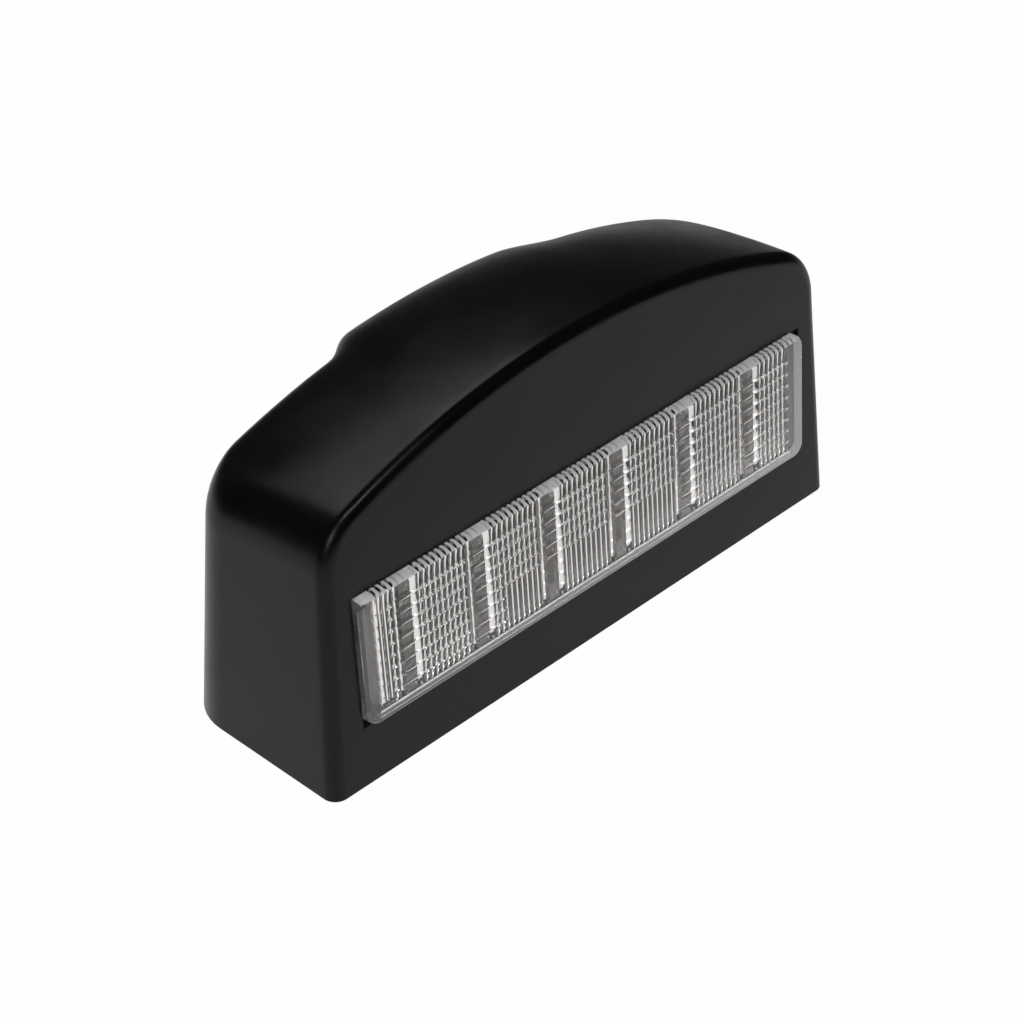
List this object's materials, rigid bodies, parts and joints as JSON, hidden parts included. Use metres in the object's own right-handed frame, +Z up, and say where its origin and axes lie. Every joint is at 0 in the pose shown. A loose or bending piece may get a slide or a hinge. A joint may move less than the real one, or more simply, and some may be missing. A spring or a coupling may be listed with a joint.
{
  "type": "number plate lamp",
  "caption": "Black arched lamp that lights a vehicle's number plate, with a clear fluted lens in its front face, festoon bulbs inside and threaded inserts underneath",
  "frame": {"origin": "middle of the two mounting inserts, on the flat underside of the base plate", "axes": "+X runs along the lamp to the right as seen from the lens side, the lens faces -Y, +Z is up, away from the mounting surface"},
  "size_m": [0.105, 0.0393, 0.053],
  "materials": {
    "cover_plastic": "moulded black plastic with a fine satin grain",
    "lens_plastic": "clear moulded plastic, smooth outside, fluted inside",
    "seal_rubber": "black sealing rubber",
    "base_plastic": "moulded black plastic, matt",
    "reflector_plastic": "light grey moulded plastic",
    "bulb_glass": "clear glass tube",
    "bulb_cap_metal": "nickel plated metal caps",
    "filament_wire": "coiled tungsten wire on nickel leads",
    "contact_brass": "pressed brass strip",
    "screw_steel": "bright zinc plated steel",
    "grommet_rubber": "soft black rubber",
    "insert_brass": "turned brass"
  },
  "bodies": {
    "root": {"housing": "cover_plastic", "lens": "lens_plastic", "lens_seal": "seal_rubber", "base_plate": "base_plastic", "base_seal": "seal_rubber", "reflector": "reflector_plastic", "left_bulb_glass": "bulb_glass", "right_bulb_glass": "bulb_glass", "left_bulb_outer_cap": "bulb_cap_metal", "left_bulb_inner_cap": "bulb_cap_metal", "right_bulb_inner_cap": "bulb_cap_metal", "right_bulb_outer_cap": "bulb_cap_metal", "left_bulb_filament": "filament_wire", "right_bulb_filament": "filament_wire", "feed_strip": "contact_brass", "earth_strip": "contact_brass", "contact_screws": "screw_steel", "cable_grommet": "grommet_rubber", "base_screws": "screw_steel", "left_insert": "insert_brass", "right_insert": "insert_brass"}
  },
  "joints": []
}
